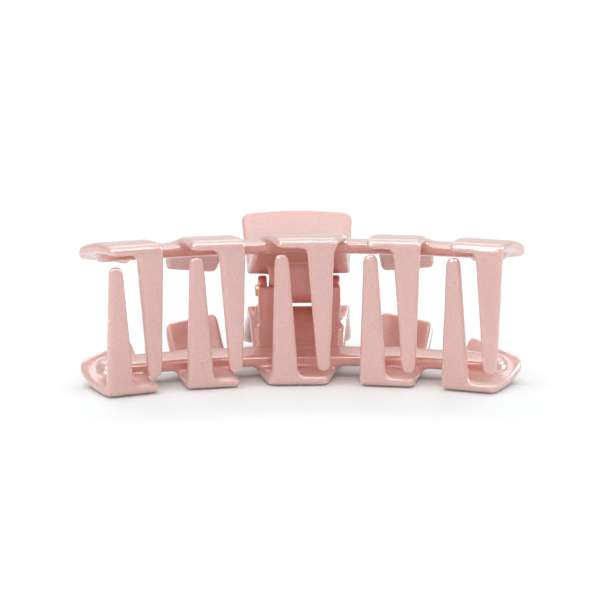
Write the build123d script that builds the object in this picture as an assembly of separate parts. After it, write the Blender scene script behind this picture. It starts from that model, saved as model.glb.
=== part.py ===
from build123d import *
import os
from math import cos, radians, sin, tan

# Claw clip, closed and lying on its lower jaw. Millimetres, +Z up, teeth at the front (-Y), hinge behind.
# Both jaws share one shape: the upper jaw is the lower one turned over about the front-to-back axis.
# X = 0 is the middle of the clip, Y = 0 the front face of the middle plate, Z = 0 the floor.

# ---- overall -------------------------------------------------------------------------------------
HEIGHT = 34.3              # closed height over both jaws
MID = HEIGHT / 2           # the plane between the jaws; the pin lies in it
PIN_Y = 26.8               # pin axis behind the front face of the middle plate
WALL = 2.45                # plate and handle thickness

# ---- side section of every plate -----------------------------------------------------------------
FLAT = 5.0                 # flat run behind the front face
BEND_IN = 24.7             # inner bend radius
WING_ANGLE = 41.0          # slope of the wing behind the bend
FRONT_ROUND = 2.0          # rounding of the outer front edge
CORNER = 1.2               # rounded plate corners seen from above
END_ROUND = 2.6            # the outermost rear corners are rounder

# ---- fan of plates -------------------------------------------------------------------------------
FAN_RADIUS = 97.0          # front faces stand on this circle, its centre in front of the clip
FAN_ANGLES = (-22.5, -11.5, 0.0, 11.5, 22.5)
# Plate outlines seen from above, as (sideways, depth behind the front face), teeth on the minus side.
TOOTH_SIDE, OTHER_SIDE = -6.9, 5.6                     # front corners of the four side plates
MIDDLE_OUTLINE = [(-7.7, -0.1), (-9.9, 9), (-11.0, 16), (-12.1, 27.2),
                  (12.1, 27.2), (10.4, 16), (8.0, 9), (5.6, -0.1)]
NEXT_REAR_NEAR, NEXT_REAR_FAR = (5.2, 26.2), (8.0, 24.2)   # rear corners of plates two and four
END_REAR_NEAR, END_REAR_FAR = (6.3, 21.9), (8.5, 17.2)     # rear corners of the two end plates
MIDDLE_TOOTH = -7.2        # outer side of the tooth on the middle plate

# ---- teeth ---------------------------------------------------------------------------------------
TOOTH_TOP = 30.9           # tip height above the outer face of its plate
END_TOOTH_SHORTER = 1.0
TOOTH_BASE = 6.3
TOOTH_TIP = 3.25
TOOTH_LEAN = 0.8
TOOTH_THICK = 2.5
TOOTH_TIP_THICK = 2.0

# ---- bar joining the plates ----------------------------------------------------------------------
BAR_FRONT = 9.0            # front face of the bar behind the front faces of the plates
BAR_WIDTH = 7.0
BAR_HIGH_FRONT = 2.56
BAR_HIGH_REAR = 4.0
BAR_END_ANGLE = 23.2       # where the round ends begin

# ---- handle --------------------------------------------------------------------------------------
HANDLE_ANGLE = 34.0
HANDLE_TIP_Y = 42.7        # outer corner of the handle tip, level with the outer face of the plates
HANDLE_HALF_ROOT = 12.1
HANDLE_HALF_TIP = 13.8
HANDLE_ARCH = 1.2          # rise of the curved tip edge
HANDLE_CORNER = 2.2

# ---- hinge ---------------------------------------------------------------------------------------
PIN_R = 0.95
BORE_CLEARANCE = 0.05      # running fit in the upper jaw
HEAD_R = 1.45
HEAD_PROUD = 0.65
EAR_IN, EAR_OUT = 7.6, 9.8 # outer ears of the lower jaw, measured from the middle
EAR_R = 3.6
POST_IN = 5.75             # front posts of the lower jaw reach in to here
POST_FRONT = 4.9           # front face of the posts ahead of the pin
POST_BACK = 3.5
POST_TOP = 1.7             # above the pin
COVER_HALF = 7.15          # spring cover and inner ears of the upper jaw
COVER_R = 3.3
COVER_WALL = 1.15
COVER_OPEN = 1.25          # the cover's lower lip ends this far ahead of the pin
INNER_EAR = 2.0            # thickness of the inner ears
CHANNEL_R = 3.95           # free space for the other jaw's hinge parts

# ---- spring --------------------------------------------------------------------------------------
WIRE_R = 0.4
COIL_R = 1.65
COIL_TURNS = 9
COIL_PITCH = 0.88
LEG_ANGLE = 38.0
LEG_LENGTH = 11.5

# ---- ejector marks on the inner face of the upper centre plate -----------------------------------
MARK_R = 1.0
MARK_DEEP = 0.15
MARK_X = 9.6
MARK_AHEAD = 3.2           # ahead of the pin


def side_section(path_end):
    """Section of a plate in the depth-height plane: flat band, bend and straight wing."""
    slope = radians(WING_ANGLE)
    centre = (FLAT, WALL + BEND_IN)
    out_r = BEND_IN + WALL
    out_bend = (FLAT + out_r * sin(slope), centre[1] - out_r * cos(slope))
    in_bend = (FLAT + BEND_IN * sin(slope), centre[1] - BEND_IN * cos(slope))
    out_end = (path_end, out_bend[1] + (path_end - out_bend[0]) * tan(slope))
    in_end = (path_end, in_bend[1] + (path_end - in_bend[0]) * tan(slope))
    face = make_face([
        Line((0, 0), (FLAT, 0)),
        CenterArc(centre, out_r, -90, WING_ANGLE),
        Line(out_bend, out_end),
        Line(out_end, in_end),
        Line(in_end, in_bend),
        CenterArc(centre, BEND_IN, -90, WING_ANGLE),
        Line((FLAT, WALL), (0, WALL)),
        Line((0, WALL), (0, 0)),
    ])
    return fillet(face.vertices().sort_by_distance((0, 0))[0], FRONT_ROUND)


def tooth(left, shorter=0.0):
    """Flat tapered tooth standing on the front edge, its outer side at `left`."""
    top = TOOTH_TOP - shorter
    front_view = Polyline((left, 0), (left + TOOTH_LEAN, top), (left + TOOTH_LEAN + TOOTH_TIP, top),
                          (left + TOOTH_BASE, WALL + 0.5), (left + TOOTH_BASE, 0), close=True)
    shape = make_face(front_view)
    tips = shape.vertices().group_by(Axis.Y)[-1]
    shape = fillet(tips, TOOTH_TIP * 0.44)
    blade = extrude(Plane.XZ * shape, amount=-TOOTH_THICK)
    side = make_face(Polyline((0, 0), (TOOTH_THICK, 0), (TOOTH_THICK, 8), (TOOTH_TIP_THICK, TOOTH_TOP + 1),
                              (0, TOOTH_TOP + 1), close=True))
    side = fillet(side.vertices().sort_by_distance((0, 0))[0], FRONT_ROUND)
    return blade & extrude(Plane.YZ * side, amount=30, both=True)


def plate(outline, tooth_left, shorter=0.0, rounded=True, far=None, far_round=CORNER):
    """One plate with its tooth, before it is turned to its place in the fan."""
    rear = max(p[1] for p in outline) + 1
    shell = extrude(Plane.YZ * side_section(rear), amount=20, both=True)
    plan = make_face(Polyline(*outline, close=True))
    corners = plan.vertices() if rounded else plan.vertices().filter_by_position(Axis.Y, -1, 5)
    if far:
        outer = corners.sort_by_distance(far)[0]
        corners = [c for c in corners if c != outer]
        plan = fillet(outer, far_round)
        corners = [plan.vertices().sort_by_distance(c.center())[0] for c in corners]
    body = shell & extrude(fillet(corners, CORNER), amount=HEIGHT)
    return body + tooth(tooth_left, shorter)


def side_plate(angle):
    """One of the four side plates; the corner nearer the middle of the clip reaches further back."""
    inner_pair = abs(angle) < 15
    near, far = (NEXT_REAR_NEAR, NEXT_REAR_FAR) if inner_pair else (END_REAR_NEAR, END_REAR_FAR)
    left, right = (far, near) if angle < 0 else (near, far)
    outline = [(TOOTH_SIDE, -0.1), (-left[0], left[1]), right, (OTHER_SIDE, -0.1)]
    shorter = END_TOOTH_SHORTER if angle == FAN_ANGLES[0] else 0.0
    far_corner = (-far[0] if angle < 0 else far[0], far[1])
    return plate(outline, TOOTH_SIDE, shorter, far=far_corner, far_round=CORNER if inner_pair else END_ROUND)


def turned(shape, angle):
    """Turn a shape about the fan centre."""
    return Pos(0, -FAN_RADIUS, 0) * Rot(0, 0, -angle) * Pos(0, FAN_RADIUS, 0) * shape


def bar():
    """Curved bar that joins the plates, standing on their inner surface."""
    rear = BAR_FRONT + BAR_WIDTH
    section = make_face(Polyline((BAR_FRONT, WALL), (rear, WALL), (rear, WALL + BAR_HIGH_REAR),
                                 (BAR_FRONT, WALL + BAR_HIGH_FRONT), close=True))
    section = fillet(section.vertices(), 0.5)
    ring = revolve(Plane.YZ * section, Axis((0, -FAN_RADIUS, 0), (0, 0, 1)), 2 * BAR_END_ANGLE + 8)
    middle = FAN_RADIUS + BAR_FRONT + BAR_WIDTH / 2
    path = CenterArc((0, -FAN_RADIUS), middle, 90 - BAR_END_ANGLE, 2 * BAR_END_ANGLE)
    round_ended = extrude(SlotArc(path, BAR_WIDTH - 0.01), amount=HEIGHT)
    return turned(ring, BAR_END_ANGLE + 4) & round_ended


def handle():
    """Flat finger handle sloping down behind the hinge, its tip edge slightly arched."""
    slope = radians(HANDLE_ANGLE)
    length = (HANDLE_TIP_Y - PIN_Y) / cos(slope) + 3
    plane = Plane(origin=(0, HANDLE_TIP_Y, 0), x_dir=(1, 0, 0), z_dir=(0, sin(slope), cos(slope)))
    tip, root = HANDLE_HALF_TIP, HANDLE_HALF_ROOT
    shape = make_face([
        Line((-tip, -HANDLE_ARCH), (-root, -length)),
        Line((-root, -length), (root, -length)),
        Line((root, -length), (tip, -HANDLE_ARCH)),
        ThreePointArc((tip, -HANDLE_ARCH), (0, 0), (-tip, -HANDLE_ARCH)),
    ])
    # the sketch's Y runs down the handle, so its tip is at the positive end
    shape = fillet(shape.vertices().group_by(Axis.Y)[-1], HANDLE_CORNER)
    return extrude(plane * shape, amount=WALL) & block(-20, 20, PIN_Y, HANDLE_TIP_Y + 5, -5, MID)


def cylinder_x(radius, x0, x1):
    """Cylinder on the pin axis from x0 to x1."""
    return Pos((x0 + x1) / 2, PIN_Y, MID) * Rot(0, 90, 0) * Cylinder(radius, abs(x1 - x0))


def block(x0, x1, y0, y1, z0, z1):
    """Box given by its limits."""
    return Pos((x0 + x1) / 2, (y0 + y1) / 2, (z0 + z1) / 2) * Box(abs(x1 - x0), abs(y1 - y0), abs(z1 - z0))


def turned_over(shape):
    """Half a turn about the front-to-back axis in the middle plane."""
    return Pos(0, 0, MID) * Rot(0, 180, 0) * Pos(0, 0, -MID) * shape


def wing_height(y):
    """Height of the wing's inner face at depth y (lower jaw pose)."""
    slope = radians(WING_ANGLE)
    return WALL + BEND_IN * (1 - cos(slope)) + (y - FLAT - BEND_IN * sin(slope)) * tan(slope)


def jaw_shell():
    """Plates, teeth, bar and handle of one jaw in the lower jaw's pose."""
    body = bar() + plate(MIDDLE_OUTLINE, MIDDLE_TOOTH, rounded=False) + handle()
    for angle in FAN_ANGLES:
        if angle:
            body += turned(side_plate(angle), angle)
    return body - cylinder_x(CHANNEL_R, -30, 30)


def ejector_marks():
    """Shallow round dents in the wing of the centre plate (lower jaw pose)."""
    y = PIN_Y - MARK_AHEAD
    tilt = Pos(0, y, wing_height(y)) * Rot(WING_ANGLE, 0, 0)
    dent = tilt * Cylinder(MARK_R, 2 * MARK_DEEP)
    return Pos(-MARK_X, 0, 0) * dent + Pos(MARK_X, 0, 0) * dent


def spring():
    """Coil round the pin with one straight leg along each handle."""
    lead = 90 + LEG_ANGLE          # angle of the first leg's tangent point, from straight back
    turns = COIL_TURNS + (360 - 2 * lead) / 360
    coil = Helix(COIL_PITCH, turns * COIL_PITCH, COIL_R)
    ends = [(coil.position_at(0), -coil.tangent_at(0)), (coil.position_at(1), coil.tangent_at(1))]
    body = sweep(Plane(origin=ends[0][0], z_dir=coil.tangent_at(0)) * Circle(WIRE_R), path=coil.edge())
    for point, way in ends:
        body += extrude(Plane(origin=point, z_dir=way) * Circle(WIRE_R), amount=LEG_LENGTH)
    place = Plane(origin=(-turns * COIL_PITCH / 2, PIN_Y, MID), z_dir=(1, 0, 0),
                  x_dir=(0, cos(radians(lead)), sin(radians(lead))))
    return place * body


shell = jaw_shell()

# ---- lower jaw: two outer ears, each with a flat-fronted post ahead of it ------------------------
lower = shell
post_front, post_back = PIN_Y - POST_FRONT, PIN_Y - POST_BACK
foot = wing_height(post_front) - 0.6
for side in (-1, 1):
    lower += cylinder_x(EAR_R, side * EAR_IN, side * EAR_OUT)
    lower += block(side * EAR_IN, side * EAR_OUT, post_front, PIN_Y + 1.5, foot, MID)
    lower += block(side * EAR_IN, side * EAR_OUT, post_front, PIN_Y, MID, MID + POST_TOP)
    lower += block(side * POST_IN, side * EAR_OUT, post_front, post_back, foot, MID + POST_TOP)
lower -= cylinder_x(PIN_R, -30, 30)

# ---- upper jaw: inner ears joined by the spring cover --------------------------------------------
top = HEIGHT - wing_height(PIN_Y - COVER_R) + 0.6
inside = COVER_HALF - INNER_EAR
hollow_r = COVER_R - COVER_WALL
cover = cylinder_x(COVER_R, -COVER_HALF, COVER_HALF)
cover += block(-COVER_HALF, COVER_HALF, PIN_Y - COVER_R, PIN_Y + 1.5, MID, top)
cover -= cylinder_x(hollow_r, -inside, inside)
cover -= block(-inside, inside, PIN_Y - COVER_OPEN, PIN_Y + 5, MID - COVER_R - 1, top + 1)
upper = turned_over(shell - ejector_marks()) + cover - cylinder_x(PIN_R + BORE_CLEARANCE, -30, 30)

# ---- pin -----------------------------------------------------------------------------------------
head = Pos(-EAR_OUT, PIN_Y, MID) * Rot(0, -90, 0) * extrude(Circle(HEAD_R), amount=HEAD_PROUD)
head = fillet(head.edges().sort_by(Axis.X)[0], HEAD_PROUD * 0.85)
pin = cylinder_x(PIN_R, -EAR_OUT, EAR_OUT) + head

# ---- export, with the origin under the middle of the clip's bounding box -------------------------
os.makedirs("parts", exist_ok=True)
parts = {"lower_jaw": lower, "upper_jaw": upper, "hinge_pin": pin, "torsion_spring": spring()}
limits = lower.bounding_box()
centre_y = (limits.min.Y + limits.max.Y) / 2
for node, shape in parts.items():
    export_step(Pos(0, -centre_y, 0) * shape, f"parts/{node}.step")
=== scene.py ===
import math

import bpy
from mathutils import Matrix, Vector


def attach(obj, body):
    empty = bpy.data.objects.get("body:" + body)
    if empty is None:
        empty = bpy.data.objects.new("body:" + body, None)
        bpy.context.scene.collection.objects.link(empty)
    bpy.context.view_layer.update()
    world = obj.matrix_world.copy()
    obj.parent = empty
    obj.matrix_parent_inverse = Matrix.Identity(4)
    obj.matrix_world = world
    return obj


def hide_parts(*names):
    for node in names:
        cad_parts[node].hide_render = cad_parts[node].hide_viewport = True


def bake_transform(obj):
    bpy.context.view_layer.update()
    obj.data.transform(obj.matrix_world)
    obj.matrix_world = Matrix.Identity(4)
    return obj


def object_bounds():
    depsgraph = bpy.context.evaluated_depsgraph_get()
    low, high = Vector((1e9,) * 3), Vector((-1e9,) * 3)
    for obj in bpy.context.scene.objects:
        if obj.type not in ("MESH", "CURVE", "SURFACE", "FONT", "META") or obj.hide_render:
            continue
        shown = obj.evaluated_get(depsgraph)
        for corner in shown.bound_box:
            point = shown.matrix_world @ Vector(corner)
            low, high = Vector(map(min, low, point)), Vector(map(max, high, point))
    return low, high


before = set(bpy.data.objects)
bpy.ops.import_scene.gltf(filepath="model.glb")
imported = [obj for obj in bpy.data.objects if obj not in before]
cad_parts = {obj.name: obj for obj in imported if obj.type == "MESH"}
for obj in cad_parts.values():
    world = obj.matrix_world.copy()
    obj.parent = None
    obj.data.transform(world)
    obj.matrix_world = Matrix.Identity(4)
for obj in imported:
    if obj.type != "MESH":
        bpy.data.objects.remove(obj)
cad_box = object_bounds()

MM = 0.001
PIN_AXIS = (9.767 * MM, 17.15 * MM)
SCENE = bpy.context.scene


# ---------------------------------------------------------------- node helpers
def material(name):
    mat = bpy.data.materials.new(name)
    mat.use_nodes = True
    tree = mat.node_tree
    return mat, tree, tree.nodes["Principled BSDF"]


def add(tree, kind, **values):
    node = tree.nodes.new(kind)
    for key, value in values.items():
        if hasattr(node, key):
            setattr(node, key, value)
        else:
            node.inputs[key.replace("_", " ")].default_value = value
    return node


def noise(tree, vector, scale, detail=3.0, rough=0.5, distortion=0.0):
    node = add(tree, "ShaderNodeTexNoise", Scale=scale, Detail=detail, Roughness=rough, Distortion=distortion)
    tree.links.new(vector, node.inputs["Vector"])
    return node.outputs["Fac"]


def ramp(tree, fac, stops):
    node = tree.nodes.new("ShaderNodeValToRGB")
    elements = node.color_ramp.elements
    while len(elements) < len(stops):
        elements.new(0.5)
    for element, (place, colour) in zip(elements, stops):
        element.position = place
        element.color = (*colour, 1.0)
    tree.links.new(fac, node.inputs["Fac"])
    return node.outputs["Color"]


def spread(tree, fac, low, high, out_low, out_high):
    node = tree.nodes.new("ShaderNodeMapRange")
    for name, value in (("From Min", low), ("From Max", high), ("To Min", out_low), ("To Max", out_high)):
        node.inputs[name].default_value = value
    tree.links.new(fac, node.inputs["Value"])
    return node.outputs["Result"]


def mix(tree, kind, fac, a, b):
    node = tree.nodes.new("ShaderNodeMix")
    node.data_type = "RGBA"
    node.blend_type = kind
    for socket, value in ((node.inputs["Factor"], fac), (node.inputs["A"], a), (node.inputs["B"], b)):
        if isinstance(value, bpy.types.NodeSocket):
            tree.links.new(value, socket)
        elif isinstance(value, tuple):
            socket.default_value = (*value, 1.0)
        else:
            socket.default_value = value
    return node.outputs["Result"]


# ---------------------------------------------------------------- pearl plastic
DEEP_PINK, PALE_PINK = (0.625, 0.402, 0.368), (0.650, 0.422, 0.388)
CLOUDED, CLEAR = (0.975, 0.955, 0.950), (1.0, 1.0, 1.0)
FLAKE_AND_SPARKLE, PAINTED_EDGE_HIGHLIGHT = (0.95, 0.80, 0.78), (0.93, 0.79, 0.77)
# painted shade: deep red multiplied into the colour where the surface is occluded
PAINTED_SHADE_TINT = (1.0, 0.40, 0.28)
SCATTER_RADIUS = (1.0, 0.42, 0.32)


def pearl(name):
    mat, tree, shader = material(name)
    where = tree.nodes.new("ShaderNodeTexCoord").outputs["Object"]
    flow = noise(tree, where, 38.0, 3.0, 0.5, 0.6)
    cloud = noise(tree, where, 900.0, 3.0, 0.65, 0.3)
    grain = noise(tree, where, 4200.0, 2.0, 0.6)
    colour = ramp(tree, flow, [(0.30, DEEP_PINK), (0.70, PALE_PINK)])
    clouds = ramp(tree, cloud, [(0.38, CLOUDED), (0.62, CLEAR)])
    colour = mix(tree, "MULTIPLY", 0.8, colour, clouds)
    # flake specks: random tiny cells lightened towards pale pink, partly the pearl pigment's flakes and
    # partly a painted sparkle
    flakes = add(tree, "ShaderNodeTexVoronoi", Scale=6400.0, Randomness=1.0)
    tree.links.new(where, flakes.inputs["Vector"])
    chance = add(tree, "ShaderNodeSeparateColor")
    tree.links.new(flakes.outputs["Color"], chance.inputs["Color"])
    glint = spread(tree, chance.outputs["Red"], 0.65, 1.0, 0.0, 0.20)
    colour = mix(tree, "MIX", glint, colour, FLAKE_AND_SPARKLE)
    # painted highlight: sharp edges are mixed towards pale pink, standing in for bright reflections along the
    # rounded edges
    edge_pointiness = tree.nodes.new("ShaderNodeNewGeometry").outputs["Pointiness"]
    colour = mix(tree, "MIX", spread(tree, edge_pointiness, 0.545, 0.61, 0.0, 0.40), colour, PAINTED_EDGE_HIGHLIGHT)
    # painted shade: recesses and gaps between parts are darkened and reddened by ambient occlusion
    occlusion = add(tree, "ShaderNodeAmbientOcclusion", samples=8, Distance=0.026)
    painted_shade = spread(tree, occlusion.outputs["AO"], 0.20, 0.80, 1.0, 0.0)
    colour = mix(tree, "MULTIPLY", painted_shade, colour, PAINTED_SHADE_TINT)
    tree.links.new(colour, shader.inputs["Base Color"])
    tree.links.new(spread(tree, cloud, 0.3, 0.7, 0.27, 0.36), shader.inputs["Roughness"])
    shader.inputs["Metallic"].default_value = 0.08
    shader.inputs["Subsurface Weight"].default_value = 0.72
    shader.inputs["Subsurface Radius"].default_value = SCATTER_RADIUS
    shader.inputs["Subsurface Scale"].default_value = 2.2 * MM
    shader.inputs["Specular IOR Level"].default_value = 0.42
    shader.inputs["Coat Weight"].default_value = 0.9
    shader.inputs["Coat Roughness"].default_value = 0.15
    shader.inputs["Coat IOR"].default_value = 1.5
    swell = add(tree, "ShaderNodeBump", Strength=0.14, Distance=0.00003)
    tree.links.new(grain, swell.inputs["Height"])
    tree.links.new(swell.outputs["Normal"], shader.inputs["Normal"])
    return mat


def metal(name, dark, light, rough, stretch):
    mat, tree, shader = material(name)
    where = tree.nodes.new("ShaderNodeTexCoord").outputs["Object"]
    mapping = add(tree, "ShaderNodeMapping", Scale=stretch)
    tree.links.new(where, mapping.inputs["Vector"])
    lines = noise(tree, mapping.outputs["Vector"], 900.0, 4.0, 0.6)
    stains = noise(tree, where, 420.0, 3.0, 0.6)
    colour = ramp(tree, stains, [(0.35, dark), (0.65, light)])
    tree.links.new(colour, shader.inputs["Base Color"])
    tree.links.new(spread(tree, lines, 0.3, 0.7, rough - 0.07, rough + 0.09), shader.inputs["Roughness"])
    shader.inputs["Metallic"].default_value = 1.0
    bump = add(tree, "ShaderNodeBump", Strength=0.15, Distance=0.00001)
    tree.links.new(lines, bump.inputs["Height"])
    tree.links.new(bump.outputs["Normal"], shader.inputs["Normal"])
    return mat


PEARL = {"lower_jaw": pearl("pearl plastic, lower jaw"), "upper_jaw": pearl("pearl plastic, upper jaw")}
BRASS = metal("pin brass", (0.55, 0.36, 0.19), (0.78, 0.56, 0.32), 0.30, (1.0, 1.0, 1.0))
STEEL = metal("spring steel", (0.42, 0.41, 0.40), (0.66, 0.65, 0.63), 0.28, (4.0, 1.0, 1.0))


# ---------------------------------------------------------------- the two mouldings
VOXEL, QUICK_VOXEL = 0.20, 0.45            # mm, the grid each moulding is remeshed on
WELD_GAP = 0.00001                         # m, CAD vertices closer than this are one vertex
EVEN_PASSES, BODY_PASSES, FRONT_PASSES = 34, 46, 130
HINGE_HALF_WIDTH = 12.5 * MM
HINGE_REACH, HINGE_FADE = 5.0, 2.0         # mm from the pin with even smoothing only, then the fade to more
FACE_DEPTH, FACE_FADE = 4.2, 2.2           # mm in from a jaw's outer level, and how much of it fades
FRONT_END, FRONT_FADE = 1.0, 5.0           # mm, the Y where the front's extra smoothing ends, and its fade


def bake(piece):
    """Turn the piece's modifiers into mesh."""
    mesh = bpy.data.meshes.new_from_object(piece.evaluated_get(bpy.context.evaluated_depsgraph_get()))
    piece.modifiers.clear()
    piece.vertex_groups.clear()
    piece.data = mesh


def smoothed(piece, passes, weight=None):
    """Smooth the mesh for some passes, everywhere or by a weight taken from each vertex's place."""
    soften = piece.modifiers.new("soften", "SMOOTH")
    soften.factor = 0.5
    soften.iterations = passes
    if weight:
        group = piece.vertex_groups.new(name="weight")
        for vertex in piece.data.vertices:
            amount = weight(vertex.co)
            if amount > 0:
                group.add([vertex.index], min(1.0, amount), "REPLACE")
        soften.vertex_group = "weight"
    bake(piece)


def away_from_hinge(point):
    """0 at the small hinge parts, 1 beyond them."""
    reach = math.hypot(point.y - PIN_AXIS[0], point.z - PIN_AXIS[1]) / MM
    return 1.0 if abs(point.x) > HINGE_HALF_WIDTH else (reach - HINGE_REACH) / HINGE_FADE


def front_of_plates(point, level):
    """1 on the front of the plates near the jaw's outer level, falling to 0 inwards and towards the back."""
    inwards = abs(point.z - level) / MM
    return min((FACE_DEPTH - inwards) / FACE_FADE, (FRONT_END - point.y / MM) / FRONT_FADE)


def moulded(node, body):
    """Put in place of the CAD node a copy whose sharp edges are rounded the way a moulding's are."""
    piece = bpy.data.objects.new(node + "_moulding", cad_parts[node].data.copy())
    SCENE.collection.objects.link(piece)
    weld = piece.modifiers.new("weld", "WELD")
    weld.merge_threshold = WELD_GAP
    remesh = piece.modifiers.new("remesh", "REMESH")
    remesh.mode = "VOXEL"
    remesh.voxel_size = VOXEL * MM
    bake(piece)
    level = cad_box[0][2] if body == "lower" else cad_box[1][2]
    smoothed(piece, EVEN_PASSES)
    smoothed(piece, BODY_PASSES, away_from_hinge)
    smoothed(piece, FRONT_PASSES, lambda point: front_of_plates(point, level))
    mesh = piece.data
    mesh.materials.clear()
    mesh.materials.append(PEARL[node])
    for polygon in mesh.polygons:
        polygon.use_smooth = True
    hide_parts(node)
    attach(piece, body)


moulded("lower_jaw", "lower")
moulded("upper_jaw", "upper")

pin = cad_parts["hinge_pin"]
pin.data.materials.clear()
pin.data.materials.append(BRASS)

# the wire twists between the jaws: the leg at -X follows the upper handle, the other one the lower handle
wire = bpy.data.objects.new("torsion_spring_wire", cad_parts["torsion_spring"].data.copy())
SCENE.collection.objects.link(wire)
wire.data.materials.clear()
wire.data.materials.append(STEEL)
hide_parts("torsion_spring")
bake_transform(wire)


# ---------------------------------------------------------------- floor and light
FLOOR_SIZE, FLOOR_SHIFT = 9.0, 2.0         # m, the floor reaches further behind the clip than in front
FLOOR_DROP = 0.00005                       # m, just below the clip's lowest face
WORLD_STRENGTH = 0.55


def studio_floor():
    bpy.ops.mesh.primitive_plane_add(size=FLOOR_SIZE, location=(0, FLOOR_SHIFT, -FLOOR_DROP))
    floor = bpy.context.object
    floor.name = "studio_floor"
    mat, tree, shader = material("studio floor")
    where = tree.nodes.new("ShaderNodeTexCoord").outputs["Object"]
    tone = ramp(tree, noise(tree, where, 3.0), [(0.3, (0.872, 0.908, 0.916)), (0.7, (0.887, 0.923, 0.931))])
    tree.links.new(tone, shader.inputs["Base Color"])
    shader.inputs["Roughness"].default_value = 0.85
    shader.inputs["Specular IOR Level"].default_value = 0.1
    floor.data.materials.append(mat)
    floor.visible_shadow = False


def softbox(name, place, aim, size, power, spread_angle=180.0, gloss_only=False, glossy=True):
    """A rectangular area light: gloss_only shows only in reflections, glossy=False only outside them."""
    light = bpy.data.lights.new(name, "AREA")
    light.shape = "RECTANGLE"
    light.size, light.size_y = size
    light.energy = power
    light.spread = math.radians(spread_angle)
    lamp = bpy.data.objects.new(name, light)
    SCENE.collection.objects.link(lamp)
    lamp.location = place
    lamp.visible_glossy = glossy
    if gloss_only:
        lamp.visible_diffuse = lamp.visible_transmission = lamp.visible_volume_scatter = False
        lamp.visible_camera = False
    lamp.rotation_euler = (Vector(aim) - Vector(place)).to_track_quat("-Z", "Y").to_euler()


studio_floor()
CENTRE = (0.0, 0.0, 0.017)
softbox("front", (-0.05, -1.3, 0.60), CENTRE, (1.3, 0.6), 1.45)
softbox("low front", (0.0, -1.2, 0.14), CENTRE, (1.4, 0.25), 2.9, glossy=False)
softbox("top", (0.0, -0.05, 1.2), CENTRE, (1.3, 1.0), 5.4)
softbox("left fill", (-0.62, -0.30, 0.22), CENTRE, (0.10, 0.60), 1.0, glossy=False)
softbox("right fill", (0.62, -0.30, 0.22), CENTRE, (0.10, 0.60), 0.7, glossy=False)
softbox("left glint", (-0.55, -0.50, 0.56), CENTRE, (0.26, 0.46), 8.5, gloss_only=True)
softbox("right glint", (0.74, 0.12, 0.42), CENTRE, (0.26, 0.46), 8.5, gloss_only=True)
softbox("top glint", (0.0, -0.30, 0.85), CENTRE, (1.2, 0.22), 9.0, gloss_only=True)
softbox("rear glint", (0.0, 1.5, 0.42), CENTRE, (2.6, 0.7), 1.3, gloss_only=True)
softbox("backdrop", (0.0, 2.6, 2.2), (0.0, 2.6, 0.0), (4.0, 2.4), 80.0, spread_angle=115.0)

world = bpy.data.worlds.new("studio")
SCENE.world = world
world.use_nodes = True
world.node_tree.nodes["Background"].inputs["Color"].default_value = (1.0, 1.0, 1.0, 1.0)
world.node_tree.nodes["Background"].inputs["Strength"].default_value = WORLD_STRENGTH
SCENE.view_settings.view_transform = "Standard"

# ---------------------------------------------------------------- camera
AZIMUTH, ELEVATION = math.radians(-2.08), math.radians(11.76)
DISTANCE = 0.4683
LENS, SENSOR_WIDTH = 122.1, 36.0
TARGET = Vector((-0.33, -8.03, 18.41)) * MM
level_reach = math.cos(ELEVATION)
back = Vector((math.sin(AZIMUTH) * level_reach, -math.cos(AZIMUTH) * level_reach, math.sin(ELEVATION)))
camera_data = bpy.data.cameras.new("camera")
camera_data.sensor_width = SENSOR_WIDTH
camera_data.lens = LENS
camera = bpy.data.objects.new("camera", camera_data)
SCENE.collection.objects.link(camera)
camera.location = TARGET + back * DISTANCE
camera.rotation_euler = (-back).to_track_quat("-Z", "Y").to_euler()
SCENE.camera = camera

bpy.context.view_layer.update()
